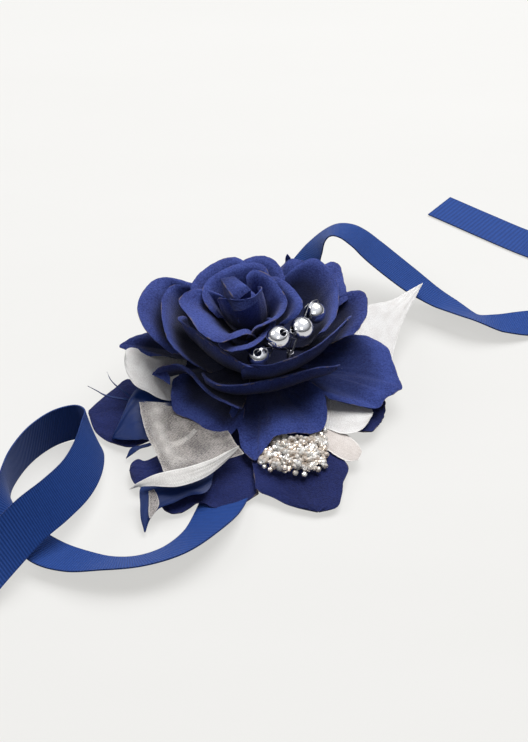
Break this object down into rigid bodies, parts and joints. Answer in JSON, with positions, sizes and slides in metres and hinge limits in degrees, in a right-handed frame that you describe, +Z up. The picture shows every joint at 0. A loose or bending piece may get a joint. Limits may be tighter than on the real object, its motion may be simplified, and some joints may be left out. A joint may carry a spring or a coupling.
{
  "type": "wrist corsage",
  "caption": "Fabric rose wrist corsage with velvet petals, satin and organza leaves, a spray of silver beads, crystal strands and a grosgrain ribbon to tie round the wrist.",
  "frame": {"origin": "middle of the felt backing's underside, which lies on the wrist or table", "axes": "+Z up out of the flower, +X to the right and -Y to the front, as the picture shows it"},
  "size_m": [0.2429, 0.2387, 0.0496],
  "materials": {
    "velvet": "matte velvet",
    "base_velvet": "matte velvet, a little more purple",
    "satin": "soft satin sheen",
    "organza": "sheer stiff weave",
    "grosgrain": "fine cross ribs",
    "felt": "matte felt",
    "foam": "matte",
    "silver": "polished",
    "wire": "bright drawn",
    "crystal": "faceted, clear"
  },
  "bodies": {
    "corsage": {"base_disc": "foam", "base_petal_back_left": "base_velvet", "base_petal_back_right": "base_velvet", "base_petal_front": "base_velvet", "base_petal_front_left": "base_velvet", "base_petal_left": "base_velvet", "base_petal_left_front": "base_velvet", "base_petal_right": "base_velvet", "bud_petal_front": "velvet", "bud_petal_inner": "velvet", "bud_petal_left": "velvet", "crystal_strand_1": "crystal", "crystal_strand_2": "crystal", "crystal_strand_3": "crystal", "crystal_strand_4": "crystal", "felt_backing": "felt", "fourth_petal_back_left": "velvet", "fourth_petal_back_right": "velvet", "fourth_petal_front": "velvet", "fourth_petal_left": "velvet", "fourth_petal_right": "velvet", "guard_petal_back": "velvet", "guard_petal_front": "velvet", "guard_petal_front_left": "velvet", "guard_petal_left": "velvet", "guard_petal_right": "velvet", "inner_petal_back": "velvet", "inner_petal_front": "velvet", "inner_petal_right": "velvet", "organza_leaf_front_left": "organza", "organza_leaf_left": "organza", "organza_leaf_low_right": "organza", "organza_leaf_right": "organza", "organza_leaf_right_front": "organza", "ribbon_left_tail": "grosgrain", "ribbon_right_tail": "grosgrain", "ribbon_strap": "grosgrain", "rose_core": "foam", "satin_leaf_lower": "satin", "satin_leaf_upper": "satin", "second_petal_back_left": "velvet", "second_petal_back_right": "velvet", "second_petal_front": "velvet", "second_petal_right": "velvet", "stem_binding": "wire", "third_petal_back": "velvet", "third_petal_front_left": "velvet", "third_petal_front_right": "velvet", "third_petal_left": "velvet", "third_petal_right": "velvet"},
    "stem_1": {"bead_stem_1": "wire"},
    "bead_1": {"silver_bead_1": "silver"},
    "stem_2": {"bead_stem_2": "wire"},
    "bead_2": {"silver_bead_2": "silver"},
    "stem_3": {"bead_stem_3": "wire"},
    "bead_3": {"silver_bead_3": "silver"},
    "stem_4": {"bead_stem_4": "wire"},
    "bead_4": {"silver_bead_4": "silver"}
  },
  "joints": [
    {"name": "bead_1_sway", "type": "hinge", "parent": "corsage", "child": "stem_1", "pos_m": [0.01405, -0.0047, 0.0265], "axis": [0.712, -0.093, -0.696], "range_deg": [-5, 12]},
    {"name": "bead_1_spin", "type": "hinge", "parent": "stem_1", "child": "bead_1", "pos_m": [0.0219, 0.0084, 0.0328], "axis": [0.3004, 0.6007, 0.7409], "continuous": true},
    {"name": "bead_2_sway", "type": "hinge", "parent": "corsage", "child": "stem_2", "pos_m": [0.01405, -0.0056, 0.0265], "axis": [0.5732, 0.8192, 0.018], "range_deg": [-2, 15]},
    {"name": "bead_2_spin", "type": "hinge", "parent": "stem_2", "child": "bead_2", "pos_m": [0.0171, -0.008, 0.0388], "axis": [-0.9034, -0.4015, 0.1506], "continuous": true},
    {"name": "bead_3_sway", "type": "hinge", "parent": "corsage", "child": "stem_3", "pos_m": [0.01315, -0.00609, 0.0265], "axis": [0.7639, 0.4189, 0.4909], "range_deg": [-2, 15]},
    {"name": "bead_3_spin", "type": "hinge", "parent": "stem_3", "child": "bead_3", "pos_m": [0.009, -0.0146, 0.0402], "axis": [0.4506, -0.3505, 0.8211], "continuous": true},
    {"name": "bead_4_sway", "type": "hinge", "parent": "corsage", "child": "stem_4", "pos_m": [0.01265, -0.0059, 0.0265], "axis": [0.2231, -0.6762, -0.7022], "range_deg": [-2, 14]},
    {"name": "bead_4_spin", "type": "hinge", "parent": "stem_4", "child": "bead_4", "pos_m": [0.0024, -0.0154, 0.0324], "axis": [-0.1, -0.5001, 0.8602], "continuous": true}
  ]
}
